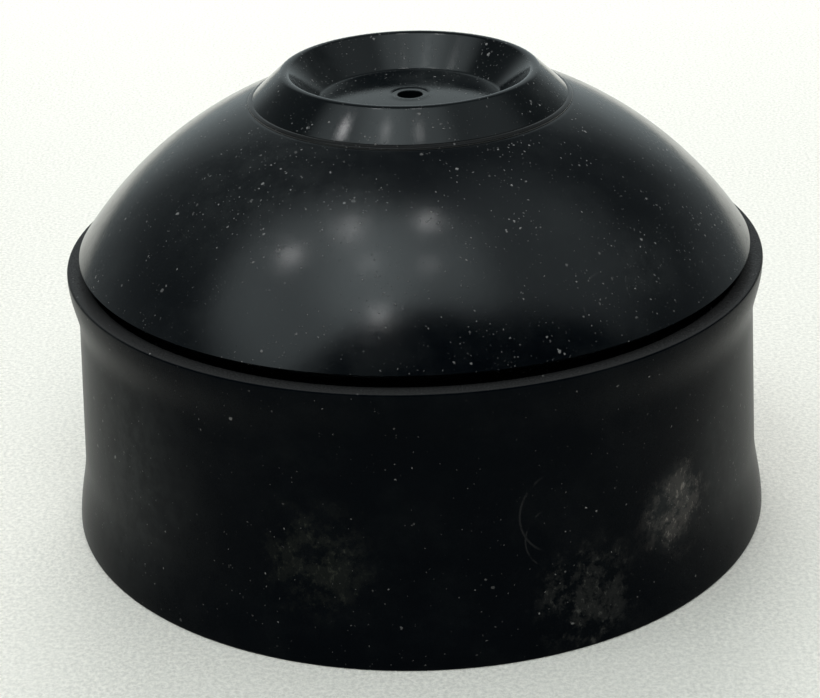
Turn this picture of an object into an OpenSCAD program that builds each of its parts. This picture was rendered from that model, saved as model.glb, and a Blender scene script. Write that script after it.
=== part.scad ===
// Sink plunger cup: a stiff rubber skirt, a springy rubber dome held in its top,
// and a boss in the crown of the dome that takes the handle.
// Millimetres, +Z up. The sealing edge of the skirt stands on Z = 0, centred on the Z axis.

/* [Skirt] */
// Outside diameter of the lip round the top of the skirt
lip_d = 100; // [96:1:106]
// Height of the lip above the sealing edge
skirt_h = 39.7; // [37:0.1:43]
// How far the skirt draws in from the lip to its waist
waist_inset = 1.1; // [0.5:0.1:1.8]
// How far the side spreads from the waist down to the sealing edge
side_spread = 1.6; // [0:0.1:3]
// Extra spread of the foot at the sealing edge
foot_spread = 1.0; // [0:0.1:2]
// Height over which the foot spreads
foot_h = 10.5; // [6:0.5:14]
// Thickness of the rubber at the sealing edge
edge_wall = 2.4; // [1.8:0.1:3]
// Width of the flat band on top of the lip
lip_band = 2.8; // [2:0.1:3.2]

/* [Dome] */
// Radius of the sphere that the outside of the dome follows
dome_r = 58.4; // [57:0.1:62]
// Thickness of the rubber in the dome
dome_wall = 3; // [2.5:0.1:3.2]
// How far the rim of the dome stands in from the edge of the lip
rim_inset = 1.9; // [1.5:0.1:2.3]
// Height of the rim of the dome above the lip
rim_lift = 1.6; // [1.2:0.1:2]
// Thickness of the neck that plugs into the skirt
neck_wall = 3; // [2.5:0.1:3.5]

/* [Boss] */
// Diameter of the foot of the boss, on the crown of the dome
boss_foot_d = 44.3; // [42:0.1:45]
// Diameter of the rim round the top of the boss
boss_rim_d = 36; // [34:0.5:38]
// Height of the boss above its gasket
boss_h = 3.85; // [3:0.05:5]
// Diameter of the flat floor that the end of the handle stands on
seat_d = 25.4; // [22:0.2:27]
// Diameter of the hole for the handle's screw
screw_d = 3.5; // [3:0.1:4.5]
// Thickness of the gasket under the boss
gasket_t = 0.5; // [0.4:0.1:1]

/* [Hardware inside] */
// Diameter of the spigot that passes down through the crown
spigot_d = 28; // [24:1:30]
// Outside diameter of the washer under the crown
washer_d = 42; // [38:1:42]
// Thickness of the washer
washer_t = 1.5; // [1:0.1:2]
// Outside diameter of the nut that clamps the boss to the crown
nut_d = 37; // [34:1:38]
// Height of the nut
nut_h = 5; // [4:0.5:6]
// Number of spanner slots round the nut
nut_slots = 6; // [4:1:8]
// Outside diameter of the metal insert for the handle's screw
insert_d = 8; // [7:0.5:10]
// Length of the insert
insert_h = 8; // [7:0.5:8.5]
// Width of the metal strip in the retaining ring
ring_w = 6; // [4:0.5:7]

/* [Hidden] */
$fn = 96;

rubber_matte = "#262626";
rubber_gloss = "#1b1b1b";
brass = "#b5973f";
steel = "#b9bdc0";
nylon = "#33353a";

// Skirt
waist_drop = 8.2;
lip_r = lip_d / 2;
waist_r = lip_r - waist_inset;
waist_z = skirt_h - waist_drop;
lip_flare_top = skirt_h - 0.7;
lip_round = 0.3;
lip_drop = 0.3;
lip_steps = 4;
band_in_r = lip_r - lip_band;
outline_step = 1.5;

// Socket inside the skirt that grips the neck of the dome
socket_r = lip_r - 4.8;
socket_top = skirt_h - 3.7;
socket_low = skirt_h - 13.7;
bead_d = 1.6;
bead_low = socket_low + 3;
bead_high = bead_low + 4;
bead_slope = 0.5;
mouth_step = 1.6;
mouth_slope_h = 4;

// Dome
rim_r = lip_r - rim_inset;
rim_z = skirt_h + rim_lift;
dome_z = rim_z - sqrt(dome_r ^ 2 - rim_r ^ 2);
inner_r = dome_r - dome_wall;
neck_in_r = socket_r - neck_wall;
neck_low = bead_low - 1.3;
neck_top = skirt_h - 1.1;
rim_under = 0.35;
fit_gap = 0.1;
cap_steps = 24;
ledge_w = 0.75;
crown_r = boss_foot_d / 2 + ledge_w;
crown_z = dome_z + sqrt(dome_r ^ 2 - crown_r ^ 2);
crown_under = crown_z - dome_wall;
crown_in_r = sqrt(inner_r ^ 2 - (crown_under - dome_z) ^ 2);
crown_hole_r = spigot_d / 2 + fit_gap;

// Retaining ring
ring_t = 2;
ring_z = neck_low + 0.5;

// Boss
gasket_top = crown_z + gasket_t;
gasket_r = crown_r - 0.05;
boss_top = gasket_top + boss_h;
seat_r = seat_d / 2;
seat_drop = 0.4;
seat_z = gasket_top - seat_drop;
rim_round = 0.45;
rim_mid_r = boss_rim_d / 2 - rim_round;
rim_start = 30;
rim_end = 150;
rim_steps = 6;
ridge_in_r = screw_d / 2 + 0.5;
ridge_out_r = ridge_in_r + 0.4;
ridge_h = 0.15;
spigot_r = spigot_d / 2;
spigot_reach = 6.95;
spigot_low = crown_under - spigot_reach;
insert_low = spigot_low + 0.2;
insert_top = insert_low + insert_h;
insert_floor = 1.5;
flange_t = 0.8;
flange_extra = 1.5;

// Hardware under the crown
washer_low = crown_under - washer_t;
hardware_bore_r = spigot_r + 0.05;
slot_w = 4;
slot_d = 1.6;
edge_break = 0.4;

// How far a cutting shape runs past the face that it cuts
cut = 1;

// Radius of the outside of the skirt at height z: a straight side, a foot that
// spreads and a lip that flares, each easing in along half a cosine wave.
function ease_up(t) = (1 - cos(180 * t)) / 2;
function foot_part(z) = z < foot_h ? foot_spread * ease_up(1 - z / foot_h) : 0;
function side_part(z) = z < waist_z ? side_spread * (1 - z / waist_z) : 0;
function lip_part(z) =
    z > waist_z ? waist_inset * ease_up(min(1, (z - waist_z) / (lip_flare_top - waist_z))) : 0;
function skirt_r(z) = waist_r + side_part(z) + foot_part(z) + lip_part(z);

// Points of an arc round [r, z], from angle a to angle b, measured from +X.
function arc(r, z, radius, a, b, steps) =
    [for (i = [0:steps]) let (t = a + (b - a) * i / steps) [r + radius * cos(t), z + radius * sin(t)]];

// Angle at which a circle of the given radius round height dome_z reaches x.
function cap_angle(radius, x) = acos(x / radius);

module skirt() {
    outside = [for (z = [0:outline_step:lip_flare_top]) [skirt_r(z), z]];
    lip = arc(lip_r - lip_round, skirt_h - lip_round, lip_round, 0, 90, lip_steps);
    inside = [
        [band_in_r, skirt_h - lip_drop],
        [socket_r, socket_top],
        [socket_r, bead_high],
        [socket_r + bead_d, bead_high - bead_slope],
        [socket_r + bead_d, bead_low + bead_slope],
        [socket_r, bead_low],
        [socket_r, socket_low],
        [socket_r + mouth_step, socket_low - mouth_slope_h],
        [skirt_r(0) - edge_wall, 0]
    ];
    color(rubber_matte) rotate_extrude() polygon(concat(outside, lip, inside));
}

module dome() {
    cap = arc(0, dome_z, dome_r, cap_angle(dome_r, rim_r), cap_angle(dome_r, crown_r), cap_steps);
    inner_cap =
        arc(0, dome_z, inner_r, cap_angle(inner_r, crown_in_r), cap_angle(inner_r, neck_in_r), cap_steps);
    neck = [
        [neck_in_r, neck_low],
        [socket_r, neck_low],
        [socket_r, bead_low],
        [socket_r + bead_d, bead_low + bead_slope],
        [socket_r + bead_d, bead_high - bead_slope],
        [socket_r, bead_high],
        [socket_r, neck_top],
        [rim_r - rim_under, rim_z - rim_under]
    ];
    crown = [[crown_hole_r, crown_z], [crown_hole_r, crown_under]];
    color(rubber_gloss) rotate_extrude() polygon(concat(neck, cap, crown, inner_cap));
}

module retaining_ring() {
    color(steel) rotate_extrude() translate([neck_in_r - ring_t, ring_z]) square([ring_t, ring_w]);
}

module boss() {
    rim = arc(rim_mid_r, boss_top - rim_round, rim_round, rim_start, rim_end, rim_steps);
    outline = concat(
        [[0, spigot_low], [spigot_r, spigot_low], [spigot_r, gasket_top], [boss_foot_d / 2, gasket_top]],
        rim,
        [[seat_r, seat_z], [ridge_out_r, seat_z], [ridge_out_r, seat_z + ridge_h],
         [ridge_in_r, seat_z + ridge_h], [ridge_in_r, seat_z], [0, seat_z]]
    );
    color(rubber_gloss) difference() {
        rotate_extrude() polygon(outline);
        translate([0, 0, spigot_low - cut]) cylinder(h = boss_top, d = screw_d);
        translate([0, 0, spigot_low - cut]) cylinder(h = insert_top - spigot_low + cut, d = insert_d);
        translate([0, 0, spigot_low - cut])
            cylinder(h = insert_low + flange_t - spigot_low + cut, d = insert_d + 2 * flange_extra);
    }
}

module boss_gasket() {
    color(rubber_matte) translate([0, 0, crown_z]) difference() {
        cylinder(h = gasket_t, r = gasket_r);
        translate([0, 0, -cut]) cylinder(h = gasket_t + 2 * cut, r = hardware_bore_r);
    }
}

module handle_insert() {
    color(brass) difference() {
        union() {
            translate([0, 0, insert_low]) cylinder(h = insert_h, d = insert_d);
            translate([0, 0, insert_low]) cylinder(h = flange_t, d = insert_d + 2 * flange_extra);
        }
        translate([0, 0, insert_low + insert_floor]) cylinder(h = insert_h, d = screw_d);
    }
}

module backing_washer() {
    color(steel) translate([0, 0, washer_low]) difference() {
        cylinder(h = washer_t, d = washer_d);
        translate([0, 0, -cut]) cylinder(h = washer_t + 2 * cut, r = hardware_bore_r);
    }
}

module ring_nut() {
    nut_r = nut_d / 2;
    nut_low = washer_low - nut_h;
    color(nylon) difference() {
        rotate_extrude() polygon([
            [hardware_bore_r, nut_low],
            [nut_r - edge_break, nut_low],
            [nut_r, nut_low + edge_break],
            [nut_r, washer_low],
            [hardware_bore_r, washer_low]
        ]);
        for (i = [0:nut_slots - 1]) rotate([0, 0, 360 * i / nut_slots])
            translate([nut_r - slot_d, -slot_w / 2, nut_low - cut]) cube([nut_d, slot_w, nut_h / 2 + cut]);
    }
}

skirt();
dome();
retaining_ring();
boss();
boss_gasket();
handle_insert();
backing_washer();
ring_nut();
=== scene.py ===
"""A black rubber sink plunger cup on a pale floor, under soft light.
Lengths in the outlines are millimetres."""

import math

import bmesh
import bpy
from mathutils import Matrix, Vector


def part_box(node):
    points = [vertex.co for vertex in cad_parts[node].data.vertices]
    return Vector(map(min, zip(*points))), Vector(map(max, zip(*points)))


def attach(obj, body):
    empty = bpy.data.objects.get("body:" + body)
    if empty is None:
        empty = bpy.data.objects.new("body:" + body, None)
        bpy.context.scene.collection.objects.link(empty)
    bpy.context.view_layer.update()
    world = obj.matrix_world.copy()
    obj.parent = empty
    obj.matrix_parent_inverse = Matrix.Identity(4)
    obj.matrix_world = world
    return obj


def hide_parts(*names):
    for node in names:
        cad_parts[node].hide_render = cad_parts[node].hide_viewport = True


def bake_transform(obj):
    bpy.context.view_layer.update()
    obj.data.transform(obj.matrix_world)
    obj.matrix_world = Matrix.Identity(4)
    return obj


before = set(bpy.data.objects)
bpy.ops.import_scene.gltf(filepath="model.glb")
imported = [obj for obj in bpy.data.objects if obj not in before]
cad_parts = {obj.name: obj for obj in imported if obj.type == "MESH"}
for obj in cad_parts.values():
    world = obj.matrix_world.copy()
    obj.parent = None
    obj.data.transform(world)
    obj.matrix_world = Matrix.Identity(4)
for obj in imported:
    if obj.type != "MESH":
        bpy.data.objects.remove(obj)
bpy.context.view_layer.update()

MM = 0.001
SEGMENTS = 288
SHARP_DEGREES = 40


# ---- Camera ----

def unit(azimuth, elevation):
    """Unit vector. Azimuth is in degrees from +Y towards +X, elevation in degrees above level."""
    a, e = math.radians(azimuth), math.radians(elevation)
    return Vector((math.sin(a) * math.cos(e), math.cos(a) * math.cos(e), math.sin(e)))


def add_camera():
    """A view down onto the cup from the front, turned a little about its own axis."""
    target = Vector((-1.06, 0, 22.7)) * MM
    distance = 310.8 * MM
    elevation = 24.85
    roll = -1.7
    data = bpy.data.cameras.new("camera")
    data.sensor_fit = "HORIZONTAL"
    data.sensor_width = 36
    data.lens = 91.83
    data.clip_start = 0.01
    camera = bpy.data.objects.new("camera", data)
    bpy.context.scene.collection.objects.link(camera)
    forward = -unit(180, elevation)
    turn = forward.to_track_quat("-Z", "Y").to_matrix().to_4x4()
    turn = turn @ Matrix.Rotation(math.radians(roll), 4, "Z")
    camera.matrix_world = Matrix.Translation(target - forward * distance) @ turn
    bpy.context.scene.camera = camera


# ---- Meshes of revolution ----

def rounded(corners, steps=6):
    """Points of a closed outline of corners (radius, height, rounding), each corner eased off."""
    points = []
    for i, (r, z, blend) in enumerate(corners):
        here = Vector((r, z))
        if blend == 0:
            points.append(here)
            continue
        before = Vector(corners[i - 1][:2]) - here
        after = Vector(corners[(i + 1) % len(corners)][:2]) - here
        reach = min(blend, before.length * 0.49, after.length * 0.49)
        start = here + before.normalized() * reach
        end = here + after.normalized() * reach
        for k in range(steps + 1):
            t = k / steps
            points.append(start * (1 - t) ** 2 + here * 2 * t * (1 - t) + end * t ** 2)
    return points


def arc(height, radius, r_start, r_end, steps):
    """Points on a circle round (0, height) between two distances from the axis, even in angle."""
    a, b = math.acos(r_start / radius), math.acos(r_end / radius)
    angles = [a + (b - a) * i / steps for i in range(steps + 1)]
    return [(radius * math.cos(t), height + radius * math.sin(t), 0) for t in angles]


def lathe(name, outline):
    """The closed outline turned about Z, as a new object."""
    mesh = bpy.data.meshes.new(name)
    work = bmesh.new()
    rings = []
    for s in range(SEGMENTS):
        angle = 2 * math.pi * s / SEGMENTS
        east, north = math.cos(angle), math.sin(angle)
        rings.append([work.verts.new((r * east * MM, r * north * MM, z * MM)) for r, z in outline])
    count = len(outline)
    for s in range(SEGMENTS):
        here, there = rings[s], rings[(s + 1) % SEGMENTS]
        for k in range(count):
            n = (k + 1) % count
            work.faces.new((here[k], there[k], there[n], here[n]))
    bmesh.ops.recalc_face_normals(work, faces=work.faces)
    work.to_mesh(mesh)
    work.free()
    mesh.shade_smooth()
    mesh.set_sharp_from_angle(angle=math.radians(SHARP_DEGREES))
    piece = bpy.data.objects.new(name, mesh)
    bpy.context.scene.collection.objects.link(piece)
    return piece


def high(node):
    """Largest radius and top height of a CAD node, in millimetres."""
    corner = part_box(node)[1]
    return corner[0] / MM, corner[2] / MM


def low_z(node):
    """Bottom height of a CAD node, in millimetres."""
    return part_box(node)[0][2] / MM


foot_r, lip_z = high("skirt")
rim_r, crown_z = high("dome")
neck_z = low_z("dome")
boss_r, boss_top = high("boss")
spigot_z = low_z("boss")
gasket_r, gasket_top = high("boss_gasket")
crown_under = high("backing_washer")[1]
insert_r, insert_top = high("handle_insert")
insert_z = low_z("handle_insert")

foot_overhang = 1.5
socket_wall = 4.8
bead_d, bead_h = 1.6, 4
rim_lift = 1.6
dome_r, dome_wall = 58.4, 3.0
ledge_w = 0.75
spigot_r = 14.0
screw_r = 1.75
pocket_r = 4
flange_t = 0.8

lip_r = foot_r - foot_overhang
socket_r = lip_r - socket_wall
bead_z = neck_z + 1.3
rim_z = lip_z + rim_lift
dome_z = rim_z - math.sqrt(dome_r ** 2 - rim_r ** 2)
crown_r = boss_r + ledge_w


def ease(t):
    """Half a cosine wave, from 0 at t = 0 to 1 at t = 1."""
    return (1 - math.cos(math.pi * min(max(t, 0), 1))) / 2


def skirt_side(z):
    """Radius of the outside of the skirt: a straight side, a spreading foot and a flared lip."""
    side_spread, foot_spread, flare = 1.6, 1.0, 1.1
    waist_r, waist_z, foot_h, flare_h = lip_r - flare, lip_z - 8.2, 10.5, 7.5
    side = side_spread * max(0, 1 - z / waist_z)
    foot = foot_spread * ease(1 - z / foot_h)
    lip = flare * ease((z - waist_z) / flare_h)
    return waist_r + side + foot + lip


def make_skirt():
    rows = 40
    top = lip_z - 0.9
    lip_band, edge_wall, mouth_step = 2.8, 2.4, 1.6
    socket_top, socket_low, mouth_z = lip_z - 3.7, lip_z - 13.7, lip_z - 17.7
    outside = [(skirt_side(top * i / rows), top * i / rows, 0) for i in range(rows + 1)]
    outside[0] = (outside[0][0], 0, 0.35)
    corners = outside + [
        (lip_r, lip_z - 0.05, 0.5),
        (lip_r - lip_band, lip_z - 0.35, 0.35),
        (socket_r, socket_top, 0.3),
        (socket_r, bead_z + bead_h, 0),
        (socket_r + bead_d, bead_z + bead_h - 0.5, 0),
        (socket_r + bead_d, bead_z + 0.5, 0),
        (socket_r, bead_z, 0),
        (socket_r, socket_low, 0.4),
        (socket_r + mouth_step, mouth_z, 1.5),
        (foot_r - edge_wall, 0, 0.6),
    ]
    return lathe("skirt_shell", rounded(corners))


def make_dome():
    neck_wall, rim_under, fit_gap = 3, 0.45, 0.1
    inner_r = dome_r - dome_wall
    neck_in_r = socket_r - neck_wall
    crown_in_r = math.sqrt(inner_r ** 2 - (crown_under - dome_z) ** 2)
    corners = [
        (neck_in_r, neck_z, 0.4),
        (socket_r, neck_z, 0.4),
        (socket_r, bead_z, 0),
        (socket_r + bead_d, bead_z + 0.5, 0.2),
        (socket_r + bead_d, bead_z + bead_h - 0.5, 0.2),
        (socket_r, bead_z + bead_h, 0),
        (socket_r, lip_z - 1.1, 0.4),
        (rim_r - rim_under, rim_z - rim_under, 0.25),
    ]
    corners += arc(dome_z, dome_r, rim_r, crown_r, 72)
    corners += [(spigot_r + fit_gap, crown_z, 0), (spigot_r + fit_gap, crown_under, 0)]
    corners += arc(dome_z, inner_r, crown_in_r, neck_in_r, 48)
    return lathe("dome_shell", rounded(corners))


def make_boss():
    seat_r, seat_z, seat_crown = 12.7, gasket_top - 0.6, 0.4
    seat_steps = 12
    rim_mid, rim_round = 17.55, 0.42
    middle_z = seat_z + seat_crown
    corners = [
        (spigot_r, spigot_z, 0.5),
        (spigot_r, gasket_top, 0),
        (boss_r, gasket_top, 0.05),
        (rim_mid + rim_round, boss_top, rim_round),
        (rim_mid - rim_round, boss_top, rim_round),
        (seat_r, seat_z, 0.4),
    ]
    for i in range(1, seat_steps + 1):
        r = seat_r + (screw_r + 0.95 - seat_r) * i / seat_steps
        corners.append((r, seat_z + seat_crown * (1 - (r / seat_r) ** 2), 0))
    corners += [
        (screw_r + 0.8, middle_z + 0.008, 0.1),
        (screw_r + 0.6, middle_z + 0.008, 0.1),
        (screw_r + 0.45, middle_z - 0.01, 0.1),
        (screw_r, middle_z - 0.01, 0.15),
        (screw_r, insert_top, 0),
        (pocket_r, insert_top, 0),
        (pocket_r, insert_z + flange_t, 0),
        (insert_r, insert_z + flange_t, 0),
        (insert_r, spigot_z, 0.2),
    ]
    return lathe("boss_body", rounded(corners))


def make_gasket():
    corners = [
        (spigot_r + 0.05, crown_z, 0),
        (gasket_r, crown_z - 0.05, 0),
        (gasket_r - 0.03, crown_z + 0.22, 0.08),
        (boss_r + 0.22, gasket_top - 0.06, 0.1),
        (boss_r - 0.3, gasket_top, 0),
        (spigot_r + 0.05, gasket_top, 0),
    ]
    return lathe("gasket_ring", rounded(corners))


# ---- Materials ----

class Graph:
    """A node tree with short ways to add what the materials share."""

    def __init__(self, tree):
        self.tree = tree
        tree.nodes.clear()

    def add(self, kind, inputs=None, **settings):
        node = self.tree.nodes.new(kind)
        for key, value in settings.items():
            setattr(node, key, value)
        for key, value in (inputs or {}).items():
            if isinstance(value, bpy.types.NodeSocket):
                self.tree.links.new(value, node.inputs[key])
            else:
                node.inputs[key].default_value = value
        return node

    def math(self, operation, a, b=0.0):
        return self.add("ShaderNodeMath", {0: a, 1: b}, operation=operation).outputs[0]

    def vector(self, operation, a, b=(0, 0, 0)):
        node = self.add("ShaderNodeVectorMath", {0: a, 1: b}, operation=operation)
        return node.outputs["Value" if operation in ("DOT_PRODUCT", "DISTANCE") else "Vector"]

    def ramp(self, value, start, end, low=0.0, top=1.0):
        inputs = {"Value": value, "From Min": start, "From Max": end,
                  "To Min": low, "To Max": top}
        node = self.add("ShaderNodeMapRange", inputs, interpolation_type="SMOOTHSTEP")
        return node.outputs["Result"]

    def noise(self, place, scale, detail=3.0, roughness=0.5):
        inputs = {"Vector": place, "Scale": scale, "Detail": detail, "Roughness": roughness}
        return self.add("ShaderNodeTexNoise", inputs).outputs["Fac"]

    def mix(self, amount, a, b):
        inputs = {"Factor": amount, "A": a, "B": b}
        node = self.add("ShaderNodeMix", data_type="RGBA")
        for key, value in inputs.items():
            socket = [s for s in node.inputs if s.name == key and s.enabled][0]
            if isinstance(value, bpy.types.NodeSocket):
                self.tree.links.new(value, socket)
            else:
                socket.default_value = value
        return [s for s in node.outputs if s.enabled][0]

    def place_mm(self):
        """The point on the surface, in millimetres from the frame's origin."""
        coords = self.add("ShaderNodeTexCoord").outputs["Object"]
        return self.vector("MULTIPLY", coords, (1 / MM, 1 / MM, 1 / MM))

    def specks(self, place, cell, size, share, crowding):
        """Specks up to size across, in the given share of the cells of a random grid. Each has its
        own brightness, and they are larger where crowding is nearer 1."""
        wobble = self.add("ShaderNodeTexNoise", {"Vector": place, "Scale": 2.2, "Detail": 1.0})
        shift = self.vector("MULTIPLY", wobble.outputs["Color"], (0.45, 0.45, 0.45))
        bent = self.vector("ADD", place, shift)
        cells = self.add("ShaderNodeTexVoronoi", {"Vector": bent, "Scale": 1 / cell})
        chance = self.add("ShaderNodeSeparateColor", {"Color": cells.outputs["Color"]})
        largest = self.ramp(chance.outputs[0], 1 - share, 1.0, 0.0, size / 2)
        radius = self.math("MULTIPLY", largest, crowding)
        away = self.math("MULTIPLY", cells.outputs["Distance"], cell)
        depth = self.math("SUBTRACT", radius, away)
        bright = self.ramp(chance.outputs[1], 0.2, 1.0, 0.25, 1.0)
        return self.math("MULTIPLY", self.ramp(depth, 0.0, size * 0.18), bright)


def material(name):
    made = bpy.data.materials.new(name)
    made.use_nodes = True
    return made, Graph(made.node_tree)


def grey(value, warm=0.0):
    return (value * (1 + warm), value, value * (1 - warm), 1)


def black_rubber(name, base, roughness, specular, dust, top_dust_and_highlight=0.0, scuffs=(), crowds=(),
                 scratches=(), waves=0.0, haze=0.35, film_share=0.12):
    """Black rubber with a fine grain, slow waves, a patchy film of dust and white specks.
    dust is how many specks there are. They and the film gather round the crowds, and film_share is
    how much of the film there is elsewhere. The top amount is how grey the faces that look up are:
    partly settled dust and partly a painted highlight, paler colour standing in for the light the
    tops catch."""
    made, g = material(name)
    place = g.place_mm()
    film = g.math("MULTIPLY", g.ramp(g.noise(place, 0.09, 5.0, 0.68), 0.4, 0.75), film_share)
    grain = g.noise(place, 5.0, 4.0, 0.65)
    wave = g.noise(g.vector("MULTIPLY", place, (1.0, 1.0, 0.7)), 0.13, 3.0, 0.5)
    crowding = g.ramp(g.noise(place, 0.16, 3.0, 0.6), 0.4, 0.62, 0.5, 0.95)
    mottle = g.noise(place, 0.35, 4.0, 0.7)
    for centre, reach in crowds:
        near = g.ramp(g.vector("DISTANCE", place, centre), reach, reach * 0.2)
        thick = g.math("MULTIPLY", near, g.ramp(mottle, 0.3, 0.7, 0.4, 1.0))
        film = g.math("MAXIMUM", film, thick)
        close = g.math("MULTIPLY", near, g.ramp(mottle, 0.35, 0.55, 0.6, 1.0))
        crowding = g.math("MAXIMUM", crowding, close)
    big = g.specks(place, 1.5, 0.7, 0.4 * dust, crowding)
    small = g.specks(g.vector("ADD", place, (7.3, 3.1, 5.7)), 0.7, 0.42, 0.42 * dust, crowding)
    fine = g.specks(g.vector("ADD", place, (2.9, 8.7, 1.3)), 0.42, 0.28, 0.5 * dust, crowding)
    speck = g.math("MAXIMUM", g.math("MAXIMUM", big, small), g.math("MULTIPLY", fine, 0.55))
    colour = g.mix(g.math("MULTIPLY", film, haze), base, (0.036, 0.04, 0.04, 1))
    # Partly dust, partly painted highlight: faces that look up are made paler, standing in for the
    # light they catch from above.
    if top_dust_and_highlight:
        normal = g.add("ShaderNodeNewGeometry").outputs["Normal"]
        upward = g.ramp(g.vector("DOT_PRODUCT", normal, (0, 0, 1)), 0.55, 0.95)
        dust_and_highlight_on_top = g.math("MULTIPLY", upward, g.ramp(grain, 0.2, 0.8, 0.6, 1.0))
        colour = g.mix(dust_and_highlight_on_top, colour, grey(top_dust_and_highlight))
    for centre, reach, strength, tint in scuffs:
        near = g.ramp(g.vector("DISTANCE", place, centre), reach, reach * 0.25)
        blotch = g.math("ADD", g.noise(place, 0.3, 5.0, 0.75), g.math("MULTIPLY", near, 0.1))
        patchy = g.ramp(blotch, 0.5, 0.66)
        drawn = g.vector("MULTIPLY", place, (1.0, 1.0, 0.6))
        chips = g.ramp(g.noise(drawn, 1.3, 4.0, 0.8), 0.5, 0.66)
        rubbed = g.math("MULTIPLY", near, g.math("MULTIPLY", patchy, chips))
        smear = g.math("MULTIPLY", g.math("MULTIPLY", near, patchy), 0.25)
        worn_off = g.math("MULTIPLY", g.math("MAXIMUM", rubbed, smear), strength)
        colour = g.mix(worn_off, colour, tint)
    for (x, y, z), radius, width in scratches:
        away = g.vector("DISTANCE", place, (x, y, z))
        off = g.math("ABSOLUTE", g.math("SUBTRACT", away, radius))
        line = g.math("MULTIPLY", g.ramp(off, width, width * 0.3), g.ramp(mottle, 0.45, 0.55))
        side = g.add("ShaderNodeSeparateXYZ", {"Vector": place}).outputs[0]
        line = g.math("MULTIPLY", line, g.ramp(side, x - radius * 0.4, x - radius * 0.75))
        speck = g.math("MAXIMUM", speck, g.math("MULTIPLY", line, 0.07))
    colour = g.mix(g.math("MULTIPLY", speck, 0.7), colour, grey(0.24, 0.02))
    worn = g.math("ADD", roughness, g.math("MULTIPLY", film, 0.07))
    worn = g.math("ADD", worn, g.math("MULTIPLY", g.math("SUBTRACT", grain, 0.5), 0.05))
    worn = g.math("MAXIMUM", worn, g.math("MULTIPLY", speck, 0.8))
    height = g.math("ADD", g.math("MULTIPLY", speck, 0.04), g.math("MULTIPLY", grain, 0.006))
    height = g.math("ADD", height, g.math("MULTIPLY", wave, waves))
    bump = g.add("ShaderNodeBump", {"Height": height, "Strength": 1.0, "Distance": MM})
    shader = g.add("ShaderNodeBsdfPrincipled", {
        "Base Color": colour, "Roughness": worn,
        "Specular IOR Level": specular, "Normal": bump.outputs[0]})
    g.add("ShaderNodeOutputMaterial", {"Surface": shader.outputs[0]})
    return made


def metal(name, colour, roughness, stretch):
    """Bright metal with fine turning or rolling marks, a little tarnish and smudges."""
    made, g = material(name)
    place = g.place_mm()
    marks = g.noise(g.vector("MULTIPLY", place, stretch), 6.0, 3.0, 0.6)
    smudge = g.ramp(g.noise(place, 0.25, 4.0, 0.6), 0.4, 0.7)
    dull = tuple(c * 0.55 for c in colour[:3]) + (1,)
    tarnish = g.mix(g.math("MULTIPLY", smudge, 0.5), colour, dull)
    uneven = g.math("ADD", g.math("MULTIPLY", marks, 0.15), g.math("MULTIPLY", smudge, 0.12))
    worn = g.math("ADD", roughness, uneven)
    height = g.math("MULTIPLY", marks, 0.01)
    bump = g.add("ShaderNodeBump", {"Height": height, "Strength": 1.0, "Distance": MM})
    shader = g.add("ShaderNodeBsdfPrincipled", {
        "Base Color": tarnish, "Metallic": 1.0, "Roughness": worn, "Normal": bump.outputs[0]})
    g.add("ShaderNodeOutputMaterial", {"Surface": shader.outputs[0]})
    return made


def nylon(name):
    """Moulded nylon with a fine spark-eroded texture."""
    made, g = material(name)
    place = g.place_mm()
    grain = g.noise(place, 3.5, 4.0, 0.6)
    blotch = g.ramp(g.noise(place, 0.3), 0.35, 0.7)
    colour = g.mix(blotch, (0.03, 0.03, 0.034, 1), (0.055, 0.055, 0.06, 1))
    height = g.math("MULTIPLY", grain, 0.02)
    bump = g.add("ShaderNodeBump", {"Height": height, "Strength": 1.0, "Distance": MM})
    rough = g.math("ADD", 0.4, g.math("MULTIPLY", grain, 0.2))
    shader = g.add("ShaderNodeBsdfPrincipled", {
        "Base Color": colour, "Roughness": rough, "Normal": bump.outputs[0]})
    g.add("ShaderNodeOutputMaterial", {"Surface": shader.outputs[0]})
    return made


def dress(piece, made):
    piece.data.materials.clear()
    piece.data.materials.append(made)


# ---- Floor, surroundings and lights ----

def add_floor():
    """A pale stone-like worktop with a fine grain."""
    mesh = bpy.data.meshes.new("floor")
    half = 2.0
    corners = [(-half, -half, 0), (half, -half, 0), (half, half, 0), (-half, half, 0)]
    mesh.from_pydata(corners, [], [(0, 1, 2, 3)])
    floor = bpy.data.objects.new("floor", mesh)
    bpy.context.scene.collection.objects.link(floor)
    made, g = material("worktop")
    place = g.place_mm()
    fine = g.noise(place, 1.6, 4.0, 0.75)
    coarse = g.noise(place, 0.05, 3.0, 0.5)
    colour = g.mix(g.ramp(fine, 0.3, 0.7), (0.67, 0.66, 0.61, 1), (0.94, 0.92, 0.85, 1))
    clouds = g.math("MULTIPLY", g.ramp(coarse, 0.3, 0.7), 0.25)
    colour = g.mix(clouds, colour, (0.82, 0.81, 0.75, 1))
    height = g.math("MULTIPLY", fine, 0.2)
    bump = g.add("ShaderNodeBump", {"Height": height, "Strength": 1.0, "Distance": MM})
    shader = g.add("ShaderNodeBsdfPrincipled", {
        "Base Color": colour, "Roughness": 0.7,
        "Specular IOR Level": 0.2, "Normal": bump.outputs[0]})
    g.add("ShaderNodeOutputMaterial", {"Surface": shader.outputs[0]})
    dress(floor, made)


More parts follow.
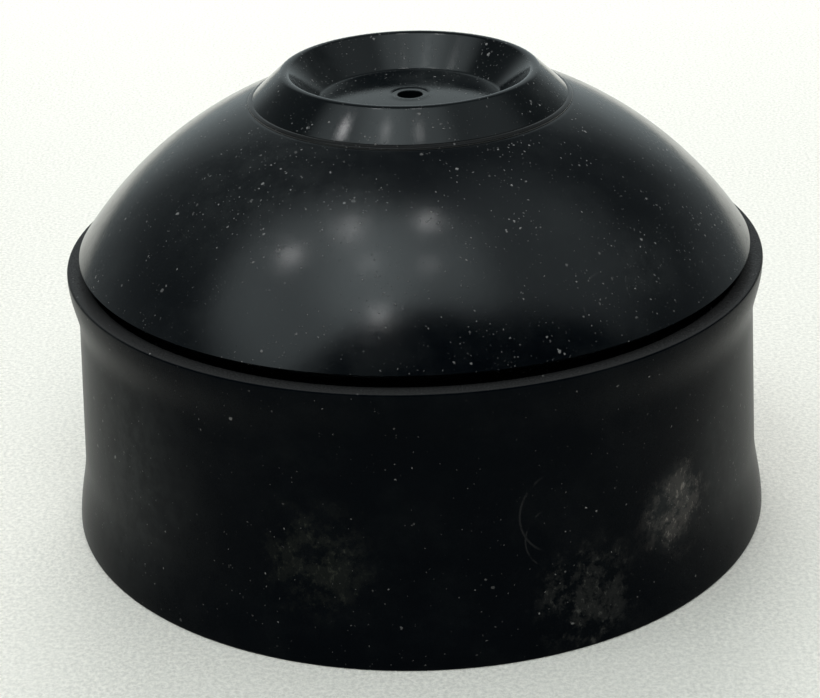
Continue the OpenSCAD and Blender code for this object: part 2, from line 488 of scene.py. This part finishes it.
def add_surroundings():
    """A dim room: bright patches high on the left, in front and on the right, one low at the
    back, and dark patches low in front. Each is (azimuth, elevation, outer, inner, strength)."""
    world = bpy.data.worlds.new("room")
    bpy.context.scene.world = world
    world.use_nodes = True
    g = Graph(world.node_tree)
    look = g.add("ShaderNodeTexCoord").outputs["Generated"]

    def patch(azimuth, elevation, outer, inner, strength):
        """A soft round patch: nothing beyond outer degrees, full strength within inner degrees."""
        near = g.vector("DOT_PRODUCT", look, tuple(unit(azimuth, elevation)))
        edge, core = math.cos(math.radians(outer)), math.cos(math.radians(inner))
        return g.ramp(near, edge, core, 0.0, strength)

    up = g.vector("DOT_PRODUCT", look, (0, 0, 1))
    back = g.vector("DOT_PRODUCT", look, (0, 1, 0))
    walls = g.math("MULTIPLY", g.ramp(up, 0.5, 0.0, 0.0, 0.16), g.ramp(back, -0.2, 0.5))
    light = g.math("ADD", walls, 0.118)
    bright = (
        (-122, 58, 34, 16, 1.1),
        (-172, 72, 27, 8, 1.0),
        (104, 60, 36, 6, 0.42),
        (0, 18, 38, 12, 0.42),
    )
    shaded = ((-175, 0, 56, 50, 0.985), (177, 15, 49, 45, 0.985), (150, 0, 59, 50, 0.985))
    for spot in bright:
        light = g.math("ADD", light, patch(*spot))
    for spot in shaded:
        light = g.math("MULTIPLY", light, g.math("SUBTRACT", 1.0, patch(*spot)))
    surface = g.add("ShaderNodeBackground", {"Color": (0.88, 1.0, 1.02, 1), "Strength": light})
    g.add("ShaderNodeOutputWorld", {"Surface": surface.outputs[0]})


def add_lamp(name, azimuth, elevation, distance, size, energy, aim=(0, 0, 0), glossy=True):
    data = bpy.data.lights.new(name, "AREA")
    data.shape = "DISK"
    data.size = size
    data.energy = energy
    lamp = bpy.data.objects.new(name, data)
    bpy.context.scene.collection.objects.link(lamp)
    place = Vector(aim) + unit(azimuth, elevation) * distance
    turn = (Vector(aim) - place).to_track_quat("-Z", "Y").to_matrix().to_4x4()
    lamp.matrix_world = Matrix.Translation(place) @ turn
    lamp.visible_glossy = glossy


def add_lights():
    ceiling = (
        (-98, 60, 0.3), (-98, 75, 0.33), (130, 86, 0.28),
        (-161, 59, 0.27), (-140, 72, 0.1), (167, 74, 0.08),
    )
    for i, (azimuth, elevation, energy) in enumerate(ceiling):
        add_lamp(f"ceiling_{i}", azimuth, elevation, 1.5, 0.07, energy)
    add_lamp("window", -48, 50, 1.6, 1.3, 2.6, glossy=False)
    add_lamp("overhead", 0, 90, 1.6, 1.6, 5.4, glossy=False)
    add_lamp("behind", 0, 60, 0.7, 0.5, 3.8, aim=(0, 0.28, 0), glossy=False)
    add_lamp("front", 170, 55, 0.9, 0.5, 2.8, aim=(0.03, -0.16, 0), glossy=False)


# ---- The object ----

def build_object():
    skirt, dome, boss, gasket = make_skirt(), make_dome(), make_boss(), make_gasket()
    scuffs = (
        ((34, -36, 15), 9, 0.9, (0.17, 0.155, 0.14, 1)),
        ((-14, -48, 15), 11, 0.32, (0.08, 0.085, 0.065, 1)),
        ((22, -46, 7), 11, 0.55, (0.1, 0.1, 0.09, 1)),
    )
    skirt_crowds = (((-44, -22, 20), 28), ((46, -20, 18), 21), ((34, -36, 15), 8))
    dome_crowds = (((-20, -20, 56), 22), ((-8, -30, 55), 12), ((30, -30, 48), 9))
    boss_crowds = (((-14, 4, 64), 11), ((4, 8, 63), 9), ((18, -6, 64), 7))
    skirt_scratches = (((18.3, -47, 20.5), 6, 0.2), ((17.5, -47, 17), 4.5, 0.16))
    dome_scratches = (((26, -38, 46), 5, 0.16), ((31, -34, 47), 4, 0.14))
    dress(skirt, black_rubber(
        "skirt_rubber", (0.0003, 0.0012, 0.0024, 1), 0.27, 0.03, 0.36, 0.03, scuffs, skirt_crowds,
        skirt_scratches, waves=0.02, haze=0.6))
    dress(dome, black_rubber(
        "dome_rubber", (0.0006, 0.0014, 0.0024, 1), 0.155, 0.42, 1.15, crowds=dome_crowds,
        scratches=dome_scratches, waves=0.04, haze=0.25, film_share=0.5))
    dress(boss, black_rubber(
        "boss_rubber", (0.0012, 0.0022, 0.003, 1), 0.085, 0.36, 1.75, crowds=boss_crowds))
    dress(gasket, black_rubber(
        "gasket_rubber", (0.0016, 0.0022, 0.003, 1), 0.2, 0.36, 1.0, 0.01))
    for piece, node, body, slot in (
            (skirt, "skirt", "cup", "skirt_rubber"),
            (dome, "dome", None, "dome_rubber"),
            (boss, "boss", "press_boss", "boss_rubber"),
            (gasket, "boss_gasket", "press_boss", "gasket_rubber")):
        if body:
            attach(piece, body)
        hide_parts(node)
    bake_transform(dome)
    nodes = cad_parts
    steel = metal("plated_steel", (0.56, 0.57, 0.58, 1), 0.28, (1, 1, 0.2))
    dress(nodes["retaining_ring"], steel)
    dress(nodes["backing_washer"], steel)
    dress(nodes["handle_insert"], metal("turned_brass", (0.68, 0.5, 0.2, 1), 0.22, (1, 1, 0.1)))
    dress(nodes["ring_nut"], nylon("nut_nylon"))


add_camera()
add_floor()
add_surroundings()
add_lights()
build_object()
bpy.context.scene.view_settings.view_transform = "Standard"
